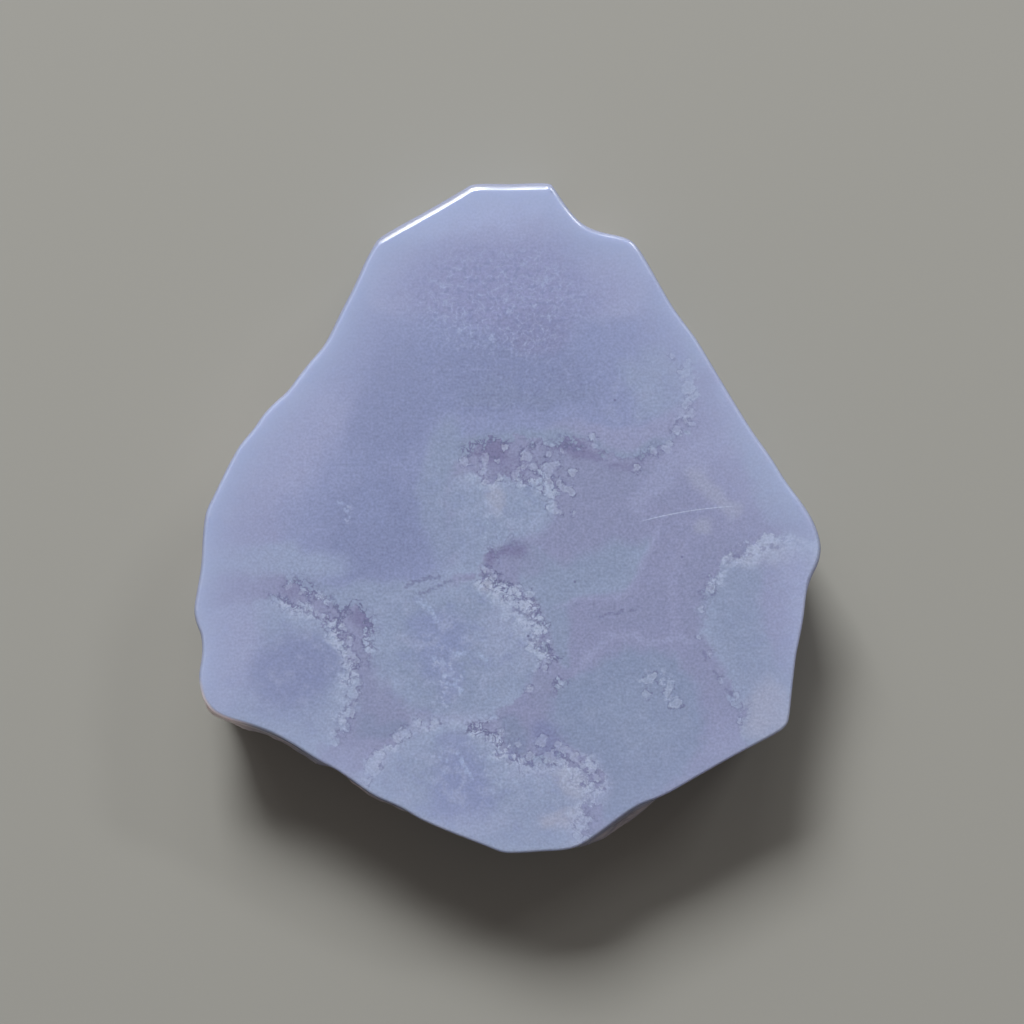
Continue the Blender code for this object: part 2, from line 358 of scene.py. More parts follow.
# the tones within the growths
INNER_SPOTS = (
    Spot(-3.0, 38.6, 12.0, 5.4, 1.0, Tone.ICE),
    Spot(-0.3, 33.8, 9.0, 3.4, 0.8, Tone.LILAC_PALE),
    Spot(13.6, 29.0, 5.0, 5.6, 0.9, Tone.LILAC_PALE),
    Spot(-13.4, 29.6, 4.4, 6.0, 0.9, Tone.LILAC_PALE),
    Spot(-27.0, 9.5, 5.0, 12.0, 0.9, Tone.LILAC_PALE, -38.0),
    Spot(-32.0, -2.0, 5.0, 8.0, 0.8, Tone.LILAC_MID),
    Spot(-0.9, 28.6, 13.0, 6.4, 1.0, Tone.VIOLET),
    Spot(-8.4, 20.0, 9.0, 5.4, 0.8, Tone.BLUE),
    Spot(1.6, 18.0, 13.0, 5.0, 1.0, Tone.BLUE_DEEP),
    Spot(2.4, 16.2, 9.0, 1.3, 0.5, Tone.SAGE_DARK, -3.0),
    Spot(4.1, 23.5, 5.4, 2.8, 1.0, Tone.VIOLET_DARK),
    Spot(13.4, 20.4, 5.0, 4.6, 0.7, Tone.BLUE),
    Spot(-17.0, -1.4, 10.6, 9.6, 0.9, Tone.BLUE_MID),
    Spot(-17.2, -1.6, 7.8, 7.0, 1.0, Tone.BLUE_DEEP),
    Spot(-16.6, 0.4, 2.6, 3.0, 0.5, Tone.BLUE),
    Spot(-14.6, 13.6, 5.0, 8.4, 0.9, Tone.BLUE_DEEP, -14.0),
    Spot(-20.4, 21.0, 4.0, 5.0, 0.5, Tone.BLUE),
    Spot(1.0, 12.6, 11.0, 2.0, 0.8, Tone.BLUE_MID),
    Spot(19.4, 16.4, 4.6, 4.4, 0.9, Tone.SAGE_MID),
    Spot(14.2, 11.2, 8.0, 1.6, 0.95, Tone.LILAC_MID),
    Spot(20.6, 11.8, 2.6, 2.4, 0.9, Tone.LILAC_MID),
    Spot(-7.4, 9.0, 2.6, 5.4, 0.9, Tone.SAGE),
    Spot(-8.6, 1.0, 2.2, 6.0, 0.7, Tone.SAGE),
    Spot(-28.6, -5.6, 9.0, 2.2, 0.9, Tone.SAGE_PALE),
    Spot(-16.5, -9.6, 8.0, 1.8, 0.9, Tone.SAGE_MID),
    Spot(1.3, 1.0, 5.0, 3.6, 0.7, Tone.SAGE_MID),
    Spot(-1.9, 3.2, 1.6, 2.4, 0.7, Tone.CREAM),
    Spot(-35.3, -16.5, 5.0, 8.0, 0.8, Tone.LILAC_PALE),
    Spot(-26.9, -19.8, 5.6, 6.0, 1.0, Tone.BLUE_DEEP, -35.0),
    Spot(-7.9, -15.8, 4.8, 3.8, 0.8, Tone.BLUE),
    Spot(-6.6, -20.0, 2.4, 2.0, 0.7, Tone.BLUE_MID),
    Spot(0.6, -13.6, 3.4, 6.0, 0.5, Tone.MILK, -20.0),
    Spot(-2.8, -8.8, 1.6, 1.2, 0.8, Tone.CREAM),
    Spot(-15.3, -16.5, 2.2, 5.4, 0.6, Tone.SAGE_MID),
    Spot(-6.2, -34.4, 4.4, 5.6, 1.0, Tone.BLUE),
    Spot(-6.6, -28.4, 2.2, 1.8, 0.6, Tone.BLUE_MID),
    Spot(-5.4, -39.0, 8.0, 2.4, 0.6, Tone.MILK),
    Spot(7.6, -32.7, 1.6, 3.2, 0.8, Tone.CREAM, 40.0),
    Spot(6.8, -37.2, 2.7, 1.5, 1.0, Tone.CREAM),
    Spot(33.0, -4.6, 9.0, 2.0, 0.7, Tone.RIME, -4.0),
    Spot(34.1, -11.5, 2.0, 6.5, 0.8, Tone.LILAC_MID),
    Spot(37.2, -11.5, 2.4, 9.0, 0.9, Tone.LILAC_PALE),
    Spot(32.2, -23.8, 3.2, 4.0, 0.9, Tone.CREAM),
)
# the weights stored with the mesh: where skins break up into lacy crust, where dark seams run
# outside them and pale crust inside them, and where moss, flecks and blotches show. Each row is a
# spot's middle and half-lengths in mm, and its share where that isn't 1.
WEIGHTS = {
    "lace": (
        (-1.9, 8.5, 6.0, 3.6), (5.0, 6.0, 5.0, 5.5), (8.4, 8.6, 6.0, 1.8, 0.8), (16.0, 8.4, 6.5, 2.2, 0.6),
        (22.6, 12.5, 2.8, 5.0, 0.8), (22.1, 18.5, 2.4, 3.2, 0.8), (-4.5, -5.5, 3.0, 4.0, 0.5),
        (-26.9, -9.8, 4.5, 3.0), (-21.3, -12.5, 4.5, 3.4), (-19.6, -18.5, 2.6, 5.5),
        (-20.3, -25.0, 2.6, 4.5), (-0.9, -8.0, 3.6, 2.4), (3.4, -12.4, 3.2, 4.6), (4.9, -17.8, 2.8, 4.0),
        (1.4, -22.5, 2.4, 2.8, 0.6), (-2.2, -27.4, 3.2, 2.6), (3.7, -29.4, 5.0, 3.0),
        (9.3, -33.6, 3.6, 4.6), (9.5, -39.0, 3.0, 2.6), (-16.6, -30.0, 4.0, 3.6, 0.8),
        (-10.0, -25.6, 3.0, 1.8, 0.7), (31.0, -3.6, 6.5, 2.2, 0.9), (26.0, -7.0, 2.6, 3.2, 0.7),
        (24.4, -14.0, 1.8, 5.0, 0.25), (28.8, -23.0, 2.4, 5.0, 0.6),
    ),
    "seam": (
        (-2.6, 8.3, 3.6, 2.6), (4.6, 5.6, 4.0, 4.2, 0.8), (9.0, 8.7, 4.6, 1.2, 0.6),
        (16.0, 7.9, 6.0, 2.0, 0.55), (22.0, 12.0, 2.2, 3.0, 0.4), (-1.0, -3.8, 3.5, 2.5, 0.4),
        (-26.9, -9.4, 4.0, 2.6), (-21.3, -12.0, 4.5, 3.0), (-19.2, -18.5, 2.4, 5.5, 0.9),
        (-20.0, -25.0, 2.2, 4.5, 0.5), (-0.9, -8.0, 3.4, 2.4), (3.4, -12.4, 2.8, 4.2, 0.8),
        (5.0, -17.8, 2.4, 3.6, 0.9), (-2.2, -27.0, 3.0, 2.0), (2.6, -29.4, 4.5, 2.6, 0.7),
        (9.8, -33.6, 3.0, 4.2, 0.45), (9.5, -38.6, 2.6, 2.4, 0.4), (28.4, -4.6, 4.5, 2.0, 0.4),
        (25.6, -7.6, 2.2, 3.0, 0.5), (28.9, -23.0, 1.8, 4.0, 0.35),
    ),
    "crust": (
        (4.8, 5.0, 4.5, 4.5, 0.7), (-3.5, 5.5, 3.0, 2.0, 0.7), (22.5, 13.5, 2.4, 5.0, 0.8),
        (-25.6, -10.8, 3.6, 2.2, 0.9), (-21.7, -14.4, 3.2, 3.0, 1.2), (-20.0, -19.0, 2.6, 5.5, 1.3),
        (-20.9, -25.0, 2.0, 4.0, 0.7), (-0.6, -9.4, 4.0, 2.6, 1.7), (2.2, -12.6, 3.6, 5.0, 1.9),
        (4.0, -17.2, 2.4, 3.8, 1.4), (-2.2, -28.2, 3.2, 2.2, 0.9), (4.2, -31.0, 5.2, 2.4, 0.9),
        (8.4, -33.6, 3.4, 4.6, 1.1), (9.0, -38.6, 2.6, 2.4, 0.7), (-16.4, -31.0, 2.6, 3.2, 0.8),
        (-8.0, -26.2, 5.0, 1.6, 0.7), (33.5, -4.4, 8.6, 3.2, 1.3), (26.8, -6.8, 2.2, 2.6, 0.8),
    ),
    "moss": (
        (-1.0, 27.0, 12.0, 7.4), (2.0, 18.0, 13.0, 4.6, 0.3),
    ),
    "fleck": (
        (-7.0, -19.6, 3.4, 3.0), (-9.5, -12.4, 1.6, 1.6, 0.7), (19.4, -20.6, 2.6, 2.8),
        (-5.0, -31.0, 7.0, 2.6, 0.6), (-20.4, 1.0, 1.4, 1.4, 0.8), (-3.2, -0.6, 2.0, 3.0, 0.7),
    ),
    "blotch": (
        (-7.0, -16.4, 11.4, 9.6), (-4.0, -34.0, 15.0, 9.0), (-27.0, -20.0, 10.0, 10.6, 0.7),
        (0.4, 1.4, 6.6, 5.4), (34.0, -12.0, 8.0, 11.0, 0.5), (18.0, 15.0, 7.0, 5.0, 0.6),
        (-6.0, 4.0, 4.0, 12.0, 0.7), (15.0, -25.0, 11.0, 10.0, 0.3),
    ),
}
# the larger pebbles of the crust, each where it shows: round the pocket, on the lobe right of it,
# along the left orb, beside the middle orb, along the lowest orb and on the right orb
PEBBLES = tuple(Pebble(*row) for row in (
    (-2.9, 6.7, 0.42, 1.1, 80.0), (-2.7, 4.6, 0.45), (-1.2, 7.2, 0.42), (-0.3, 8.8, 0.38), (-5.3, 7.0, 0.6),
    (2.4, 7.7, 0.8), (1.8, 6.3, 0.42), (3.2, 6.3, 0.6), (5.1, 6.2, 0.8), (6.1, 6.7, 0.5), (5.1, 7.8, 0.42),
    (5.1, 4.2, 0.5, 0.8, 80.0), (5.4, 3.1, 0.55), (7.3, 3.7, 0.5, 1.0, -37.0), (5.6, 1.2, 0.75),
    (6.4, 0.8, 0.5), (8.1, 5.7, 0.55), (0.9, 5.3, 0.5), (-0.9, 5.0, 0.45), (8.3, 0.7, 0.35),
    (6.9, 8.5, 0.4), (10.8, 10.0, 0.5), (10.9, 9.2, 0.42), (18.2, 8.3, 0.55), (20.1, 8.8, 0.75),
    (21.1, 11.0, 0.6), (22.3, 14.2, 0.7), (22.9, 13.0, 0.55), (22.3, 12.2, 0.45), (23.2, 11.7, 0.42),
    (22.6, 16.3, 0.9), (22.1, 18.1, 0.7), (22.4, 19.2, 0.5), (16.2, 6.1, 0.5), (20.7, 20.2, 0.4),
    (-27.3, -8.5, 0.5), (-25.6, -9.3, 0.4), (-26.1, -10.7, 0.45), (-24.9, -11.2, 0.55), (-23.9, -11.9, 0.5),
    (-22.8, -12.5, 0.5), (-21.7, -13.3, 0.55), (-20.6, -13.8, 0.55), (-19.8, -15.3, 0.55),
    (-20.8, -15.9, 0.5), (-19.9, -17.0, 0.7), (-18.9, -17.9, 0.45), (-20.1, -18.3, 0.55),
    (-19.1, -19.4, 0.55), (-18.9, -20.8, 0.55), (-19.3, -22.0, 0.7), (-19.1, -23.3, 0.4),
    (-19.7, -24.3, 0.7), (-20.7, -25.5, 0.5), (-2.8, -6.4, 0.5), (-1.8, -7.4, 0.6), (-0.8, -8.4, 0.45),
    (0.9, -9.0, 0.5, 0.5, 25.0), (2.7, -9.5, 0.6), (1.8, -10.9, 0.5), (3.6, -14.0, 0.6), (2.9, -16.3, 0.6),
    (4.2, -17.3, 0.45, 0.9, -50.0), (4.7, -18.8, 0.5), (2.8, -21.5, 0.5), (4.4, -27.9, 0.8),
    (6.8, -28.8, 0.5, 0.8, -40.0), (5.3, -30.0, 0.8), (6.6, -30.5, 0.55), (8.3, -29.9, 0.6),
    (9.6, -30.8, 0.55), (10.6, -31.4, 0.6), (11.2, -32.5, 0.45), (2.8, -29.9, 0.6), (1.4, -28.4, 0.5),
    (-0.9, -26.9, 0.55), (-2.2, -27.5, 0.5), (9.3, -38.3, 0.9), (8.7, -39.8, 0.6), (10.3, -37.8, 0.5),
    (-16.9, -31.3, 1.0), (-16.2, -29.8, 0.8), (-17.7, -32.9, 0.5), (-12.9, -26.9, 0.7), (-13.9, -27.5, 0.6),
    (-11.2, -25.5, 0.5), (-9.1, -25.3, 0.5), (17.8, -20.0, 0.55, 0.4, 30.0), (19.3, -20.4, 0.45),
    (17.3, -22.2, 0.5), (20.1, -21.5, 0.4, 0.7, 80.0), (21.1, -23.2, 0.55, 0.4, 10.0), (25.4, -8.9, 0.6),
    (24.1, -11.5, 0.4), (23.9, -14.9, 0.3), (25.3, -17.1, 0.35), (26.7, -20.4, 0.4), (28.5, -22.3, 0.4),
    (29.0, -25.3, 0.35),
))
# pale threads and dark arcs within the growths
THREADS = (
    ((-11.1, -10.5), (-9.9, -11.0), (-9.3, -12.0), (-8.8, -12.9)),
    ((-9.7, -17.3), (-8.7, -17.8), (-7.7, -18.3), (-7.3, -19.0), (-7.9, -20.0)),
    ((-7.2, -19.3), (-6.6, -20.3), (-6.4, -21.0), (-5.7, -21.8)),
    ((-6.6, -17.0), (-5.2, -16.9)),
    ((-7.7, -20.8), (-6.9, -20.9)),
    ((-3.4, -17.2), (-2.8, -17.8)),
    ((-20.9, 2.0), (-20.2, 1.0), (-19.7, 0.3)),
    ((-6.1, -29.3), (-5.2, -31.3), (-4.4, -32.5)),
    ((-8.4, -29.9), (-7.7, -30.4)),
)
ARCS = (
    ((-12.9, -8.7), (-11.6, -8.0), (-9.7, -7.5), (-8.4, -7.4)),
    ((-11.3, -9.5), (-9.9, -9.2), (-8.4, -8.4), (-7.2, -7.8)),
    ((28.4, -4.9), (29.4, -4.6), (30.5, -4.7)),
    ((31.7, -4.0), (32.8, -3.6), (33.9, -3.7)),
    ((0.6, -11.4), (1.8, -11.8), (2.9, -12.8), (4.2, -13.0)),
    ((2.6, -15.2), (3.6, -15.6), (4.2, -16.4)),
    ((11.8, -12.3), (12.7, -12.0)),
    ((13.6, -11.9), (14.4, -11.6)),
    ((15.3, -11.7), (16.4, -11.3)),
    ((24.3, -16.6), (24.9, -17.6)),
    ((25.8, -19.0), (26.4, -20.1)),
    ((27.4, -21.4), (28.2, -22.4)),
)
# single dark specks in the stone, each about a third of a millimetre wide
SPECKS = ((13.4, 14.7), (21.8, -4.9), (8.4, -8.0), (2.6, -14.8))
# the noises of the stone: each one's feature size in mm, read off the stone, its detail, roughness
# and distortion. The sugary grain is really a few hundredths of a mm wide, too fine to show in the
# render, and is drawn about ten times as coarse.
PATTERNS = {
    "tear": (1.818, 5.0, 0.7, 0.0),
    "sway": (2.222, 2.0, 0.5, 0.0),
    "seam run": (2.0, 1.0, 0.5, 0.0),
    "blotch": (2.381, 5.0, 0.68, 0.0),
    "curl": (1.0526, 3.0, 0.7, 0.0),
    "crack": (1.25, 2.0, 0.5, 0.9),
    "moss thread": (1.25, 2.0, 0.5, 0.5),
    "moss pit": (0.7143, 2.0, 0.5, 0.0),
    "pebble bend": (0.7692, 3.0, 0.6, 0.0),
    "thread bend": (0.5556, 2.0, 0.5, 0.0),
    "sugar": (0.3226, 1.0, 0.5, 0.0),
}
# where natural skin is left on the sides: the middle and radius of each patch, in mm
NATURAL_PATCHES = (
    (-38.5, -12.0, 17.0), (-36.0, 4.0, 15.0), (-27.0, 17.0, 11.0), (-31.0, -26.5, 10.0), (-17.0, -35.0, 8.0),
    (9.0, 37.5, 6.0), (14.0, -37.5, 7.0),
)


@dataclass
class Markings:
    """Works out the stone's tones and weights at each point of its surface.

    Points are in mm, one row each, with the polished face at height 0, and below is each one's
    depth under that face. Bends are the waves that push the tones about, so that none is a clean
    oval: how many waves a mm holds, and how far they push, in mm.
    """

    points: np.ndarray
    below: np.ndarray
    bends: tuple[tuple[float, float], ...] = ((0.11, 2.6), (0.35, 1.1))

    def __post_init__(self) -> None:
        """Keeps the places in the face, as they are and bent."""
        self.flat = self.points[:, :2]
        self.bent = self.flat.copy()
        for waves, reach in self.bends:
            for axis in (0, 1):
                apart = 17.0 * axis
                shift = [
                    noise.noise(Vector((x * waves + apart, y * waves, z * waves))) for x, y, z in self.points
                ]
                self.bent[:, axis] += reach * np.array(shift)

    def oval(self, spot: Spot) -> np.ndarray:
        """Works out how strongly a spot shows, fading out smoothly at its edge and with depth.

        Args:
            spot: the spot.

        Returns:
            One share for each point.
        """
        turn = math.radians(spot.turn)
        x = self.bent[:, 0] - spot.x
        y = self.bent[:, 1] - spot.y
        across = (x * math.cos(turn) + y * math.sin(turn)) / spot.across
        along = (y * math.cos(turn) - x * math.sin(turn)) / spot.along
        # it goes down 1.6 times as far as it is long, and fades between 0.55 and 1.25 of its size
        down = self.below / (1.6 * max(spot.across, spot.along))
        reach = np.sqrt(across ** 2 + along ** 2 + down ** 2)
        return spot.share * self.step(reach, 1.25, 0.55)

    def step(self, values: np.ndarray, low: float, high: float) -> np.ndarray:
        """A smooth step from 0 at low to 1 at high, which may be less than low."""
        share = np.clip((values - low) / (high - low), 0.0, 1.0)
        return share * share * (3 - 2 * share)

    def line_distance(self, line: tuple[Place, ...], places: np.ndarray) -> np.ndarray:
        """Measures the distance from each place to a line.

        Args:
            line: the line's points.
            places: the places in the face, one row each.

        Returns:
            One distance for each place.
        """
        nearest = np.full(len(self.points), np.inf)
        for start, end in zip(np.array(line), np.array(line[1:])):
            along = end - start
            away = places - start
            share = np.clip(away @ along / (along @ along), 0.0, 1.0)
            nearest = np.minimum(nearest, np.linalg.norm(away - share[:, None] * along, axis=1))
        return nearest

    def outside(self, growth: Growth, places: np.ndarray) -> np.ndarray:
        """Measures the distance from each place to a growth's skin.

        Args:
            growth: the growth.
            places: the places in the face, one row each.

        Returns:
            One distance for each place, negative within the growth.
        """
        x, y = places[:, 0], places[:, 1]
        ring = growth.skin + growth.skin[:1]
        within = np.zeros(len(places), bool)
        for (ax, ay), (bx, by) in zip(ring, ring[1:]):
            if ay != by:
                within ^= ((ay > y) != (by > y)) & (x < (bx - ax) * (y - ay) / (by - ay) + ax)
        span = self.line_distance(ring, places)
        return np.where(within, -span, span) + growth.taper * self.below

    def blend(self, ground: np.ndarray, tone: Tone | np.ndarray, share: np.ndarray) -> np.ndarray:
        """Lays a tone over the ground.

        Args:
            ground: a linear colour for each point.
            tone: the tone above, or a colour for each point.
            share: how much of it shows at each point.

        Returns:
            The blended colours.
        """
        over = np.array(linear(tone.value)[:3]) if isinstance(tone, Tone) else tone
        return ground + (over - ground) * share[:, None]

    def outer(self) -> np.ndarray:
        """Works out the colour of the stone between the growths.

        Returns:
            One linear colour for each point.
        """
        colour = np.tile(np.array(linear(Tone.LILAC.value)[:3]), (len(self.points), 1))
        for spot in BROAD_SPOTS:
            colour = self.blend(colour, spot.tone, self.oval(spot))
        # the crescent is pale, with a ring, in its lower part, and elsewhere only a faint line
        depth = -self.outside(CRESCENT, self.bent)
        low = self.step(self.bent[:, 1], -3.0, -5.6)
        ring = self.step(depth, -0.6, 0.4) * self.step(depth, 2.2, 0.8)
        flank = -self.outside(FLANK, self.bent)
        for tone, share in (
            (Tone.SAGE, self.step(depth, -0.3, 0.5) * low),
            (Tone.SAGE_MID, ring * low * 0.8),
            (Tone.LILAC_MID, self.step(abs(depth), 0.9, 0.2) * (1 - low) * 0.35),
            (Tone.SAGE, self.step(flank, -0.6, 0.6) * 0.9),
        ):
            colour = self.blend(colour, tone, share)
        for vein in OUTER_VEINS:
            span = self.line_distance(vein.points, self.bent)
            share = self.step(span, vein.half_width * 1.6, vein.half_width * 0.3)
            colour = self.blend(colour, vein.tone, share * vein.share)
        for spot in OUTER_SPOTS:
            colour = self.blend(colour, spot.tone, self.oval(spot))
        return colour

    def inner(self) -> np.ndarray:
        """Works out the colour of the stone within the growths.

        Returns:
            One linear colour for each point.
        """
        colour = np.tile(np.array(linear(Tone.SAGE_MID.value)[:3]), (len(self.points), 1))
        # each growth's tones fade in from 2.5 mm outside its skin
        for growth in GROWTHS:
            depth = -self.outside(growth, self.bent)
            places = [place for place, _ in growth.bands]
            tones = np.array([linear(tone.value)[:3] for _, tone in growth.bands])
            banded = np.stack([np.interp(depth, places, tones[:, i]) for i in range(3)], axis=1)
            colour = self.blend(colour, banded, self.step(depth, -2.5, -0.5))
        for spot in INNER_SPOTS:
            colour = self.blend(colour, spot.tone, self.oval(spot))
        return colour

    def weight(self, rows: tuple[tuple[float, ...], ...]) -> np.ndarray:
        """The strongest of some spots at each point, given as rows of numbers."""
        return np.max([self.oval(Spot(*row)) for row in rows], axis=0)

    def skin(self) -> np.ndarray:
        """The distance from each point to the nearest growth's skin, negative within a growth."""
        return np.min([self.outside(growth, self.flat) for growth in GROWTHS], axis=0)

    def pebble(self) -> np.ndarray:
        """Measures the distance from each point to the nearest single pebble's edge.

        Returns:
            One distance for each point, negative within a pebble.
        """
        nearest = np.full(len(self.points), np.inf)
        for stone in PEBBLES:
            turn = math.radians(stone.turn)
            x = self.points[:, 0] - stone.x
            y = self.points[:, 1] - stone.y
            along = x * math.cos(turn) + y * math.sin(turn)
            across = y * math.cos(turn) - x * math.sin(turn)
            along = np.maximum(np.abs(along) - stone.reach, 0.0)
            span = np.sqrt(along ** 2 + across ** 2 + self.below ** 2) - stone.half_width
            nearest = np.minimum(nearest, span)
        return nearest

    def lines(self, lines: tuple[tuple[Place, ...], ...]) -> np.ndarray:
        """The distance from each point to the nearest of some lines in the face."""
        flat = np.min([self.line_distance(line, self.flat) for line in lines], axis=0)
        return np.hypot(flat, self.below)


@dataclass
class StonePainter:
    """Builds the stone's colour in a node tree from the tones and weights stored with the mesh.

    Object coordinates are scaled up, so that lengths are in mm. A map range node has numbered
    inputs: 0 is its value, 1 and 2 are the range it reads, and 3 and 4 the range it gives. A mix
    node's 6 and 7 are the colours below and above.
    """

    tree: bpy.types.NodeTree
    face_height: float
    streak_length: float = 5.0
    streak_height: float = 2.0

    def __post_init__(self) -> None:
        """Makes what the layers share: the place, the stored weights, the noises and the skin."""
        self.add = partial(add_node, self.tree)
        at = self.add("TexCoord", output=3)
        at = self.add("VectorMath", {0: at, 3: 1 / MM}, operation="SCALE")
        self.place = self.add("VectorMath", {0: at, 1: (0, 0, self.face_height / MM)}, operation="SUBTRACT")
        others = ("growth", "pebble", "thread", "arc", "painted_glow_far", "painted_glow_near", "side", "skin", "heel")
        self.stored = {
            name: self.add("Attribute", output=2, attribute_name=name) for name in (*WEIGHTS, *others)
        }
        self.noise = {}
        for name, (size, detail, rough, bent) in PATTERNS.items():
            look = {"Scale": 1 / size, "Detail": detail, "Roughness": rough, "Distortion": bent}
            self.noise[name] = self.add("TexNoise", {"Vector": self.place, **look})
        self.patchy = self.add("MapRange", {0: self.noise["curl"], 1: 0.4, 2: 0.56}, **SMOOTH)
        self.depth = self.ragged_skin()
        self.colour = self.add("Attribute", output=1, attribute_name="outer")

    def ragged_skin(self) -> Socket:
        """Lets the growths' skin wander, and breaks it up where it is lacy.

        Returns:
            The distance to it in mm, negative within a growth.
        """
        # a lacy skin is torn by 2 mm or so either way, and a calm one strays by half a millimetre
        rough = self.add("MapRange", {0: self.noise["tear"], 1: 0.25, 2: 0.75, 3: -2.3, 4: 2.3}, clamp=False)
        calm = self.add("MapRange", {0: self.noise["sway"], 1: 0.3, 2: 0.7, 3: -0.6, 4: 0.6}, clamp=False)
        push = self.add("Math", {0: rough, 1: self.stored["lace"], 2: calm}, operation="MULTIPLY_ADD")
        return self.add("Math", {0: push, 1: self.stored["growth"]}, operation="ADD")

    def near(self, value: Socket, middle: float, full: float, gone: float, most: float = 1.0) -> Socket:
        """Finds how near a value comes to a middle one.

        Args:
            value: the value.
            middle: the middle one.
            full: how far off it may be for the result to be at its most.
            gone: how far off it has to be for the result to be nothing.
            most: the greatest result.

        Returns:
            The result, which fades smoothly from most to 0.
        """
        off = self.add("Math", {0: value, 1: middle}, operation="SUBTRACT")
        off = self.add("Math", {0: off}, operation="ABSOLUTE")
        return self.add("MapRange", {0: off, 1: full, 2: gone, 3: most, 4: 0.0}, **SMOOTH)

    def lay(self, tone: Tone, share: Socket, *weights: Socket | float) -> None:
        """Lays a tone over the colour so far.

        Args:
            tone: the tone.
            share: how strongly it shows.
            weights: what that is multiplied by.
        """
        for weight in weights:
            share = self.add("Math", {0: share, 1: weight}, operation="MULTIPLY")
        over = {0: share, 6: self.colour, 7: linear(tone.value)}
        self.colour = self.add("Mix", over, 2, data_type="RGBA")

    def growths(self) -> None:
        """Lays the growths over the stone between them, with the dark seam outside their skin."""
        # the seam runs 0.2 mm outside the skin and fades within half a millimetre
        line = self.near(self.depth, 0.2, 0.12, 0.5)
        broken = self.add("MapRange", {0: self.noise["seam run"], 1: 0.4, 2: 0.54, 3: 0.15}, **SMOOTH)
        self.lay(Tone.INK, line, broken, self.stored["seam"])
        # lacy skins are sharp and the others soft, up to a millimetre on either side
        soft = self.add("MapRange", {0: self.stored["lace"], 2: 0.6, 3: 1.1, 4: 0.12})
        within = self.add("Math", {0: self.depth, 1: soft}, operation="DIVIDE")
        self.within = self.add("MapRange", {0: within, 1: -1.0, 2: 1.0, 3: 1.0, 4: 0.0}, **SMOOTH)
        inner = self.add("Attribute", output=1, attribute_name="inner")
        self.colour = self.add("Mix", {0: self.within, 6: self.colour, 7: inner}, 2, data_type="RGBA")

    def blotches(self) -> None:
        """Lays soft blotches, pale and deep, over the stone of the orbs."""
        for tone, low, high, most in ((Tone.MILK, 0.5, 0.62, 0.6), (Tone.BLUE, 0.48, 0.36, 0.5)):
            share = self.add("MapRange", {0: self.noise["blotch"], 1: low, 2: high, 4: most}, **SMOOTH)
            self.lay(tone, share, self.stored["blotch"])

    def crust(self) -> None:
        """Lays the pale pebbly crust just inside the skins, and the dark cracks that wind through it."""
        # the crust fades out from 0.3 to 2.8 times its weight, in mm, inside the skin
        wide = self.add("Math", {0: self.stored["crust"], 1: 0.05}, operation="ADD")
        band = self.add("Math", {0: self.depth, 1: wide}, operation="DIVIDE")
        band = self.add("MapRange", {0: band, 1: -2.8, 2: -0.3}, **SMOOTH)
        most = self.add("Math", {0: self.stored["crust"], 1: 1.0}, operation="MINIMUM")
        patchy = self.add("MapRange", {0: self.patchy, 3: 0.12, 4: 0.95})
        self.lay(Tone.PEBBLE, band, self.within, most, patchy)
        # the cracks are thin lines where a noise crosses its middle, all within 2 mm of the skin
        crack = self.near(self.noise["crack"], 0.5, 0.015, 0.05)
        edge = self.near(self.depth, -0.4, 0.4, 1.6, 0.9)
        self.lay(Tone.INK, crack, edge, self.stored["seam"])

    def moss(self) -> None:
        """Lays the mossy threads and pits of the crown over the stone."""
        # the threads are thin lines where a noise crosses its middle, and the pits its hollows
        thread = self.near(self.noise["moss thread"], 0.5, 0.0, 0.055, 0.85)
        mossy = self.add("MapRange", {0: self.patchy, 3: 0.35})
        self.lay(Tone.MIST, thread, mossy, self.stored["moss"])
        pit = self.add("MapRange", {0: self.noise["moss pit"], 1: 0.36, 2: 0.46, 3: 0.85, 4: 0.0}, **SMOOTH)
        self.lay(Tone.INDIGO, pit, self.stored["moss"])

    def pebbles(self) -> None:
        """Lays the larger pebbles over the stone, each with a dark gap round it."""
        # the edge strays by 0.4 mm, with the gap 0.14 mm outside it and a pale rim 0.12 mm inside
        edge = self.add("Math", {0: self.noise["pebble bend"], 1: 1.9, 2: -0.92}, operation="MULTIPLY_ADD")
        edge = self.add("Math", {0: edge, 1: self.stored["pebble"]}, operation="ADD")
        broken = self.add("MapRange", {0: self.patchy, 3: 0.75, 4: 0.15})
        for tone, middle, reach, most in ((Tone.INK, 0.14, 0.16, 1.0), (Tone.PEBBLE, -0.12, 0.17, 0.9)):
            self.lay(tone, self.near(edge, middle, 0.02, reach, most), broken)
        self.lay(Tone.PEBBLE, self.add("MapRange", {0: edge, 1: -0.25, 2: 0.0, 3: 0.35, 4: 0.0}, **SMOOTH))

    def threads(self) -> None:
        """Lays pale threads, dark arcs and clustered pale flecks over the stone."""
        # each line strays by 0.3 mm and fades within about as much
        bend = self.add("Math", {0: self.noise["thread bend"], 1: 1.4, 2: -0.7}, operation="MULTIPLY_ADD")
        for name, tone, reach in (("thread", Tone.FROST, 0.34), ("arc", Tone.INK, 0.3)):
            span = self.add("Math", {0: self.stored[name], 1: bend}, operation="ADD")
            self.lay(tone, self.add("MapRange", {0: span, 1: 0.1, 2: reach, 3: 0.5, 4: 0.0}, **SMOOTH))
        fleck = self.add("MapRange", {0: self.noise["curl"], 1: 0.56, 2: 0.62, 4: 0.5}, **SMOOTH)
        self.lay(Tone.PEBBLE, fleck, self.stored["fleck"])

    def scratch(self) -> None:
        """Lays one hair-thin healed crack, an arc right of the middle, and a few specks."""
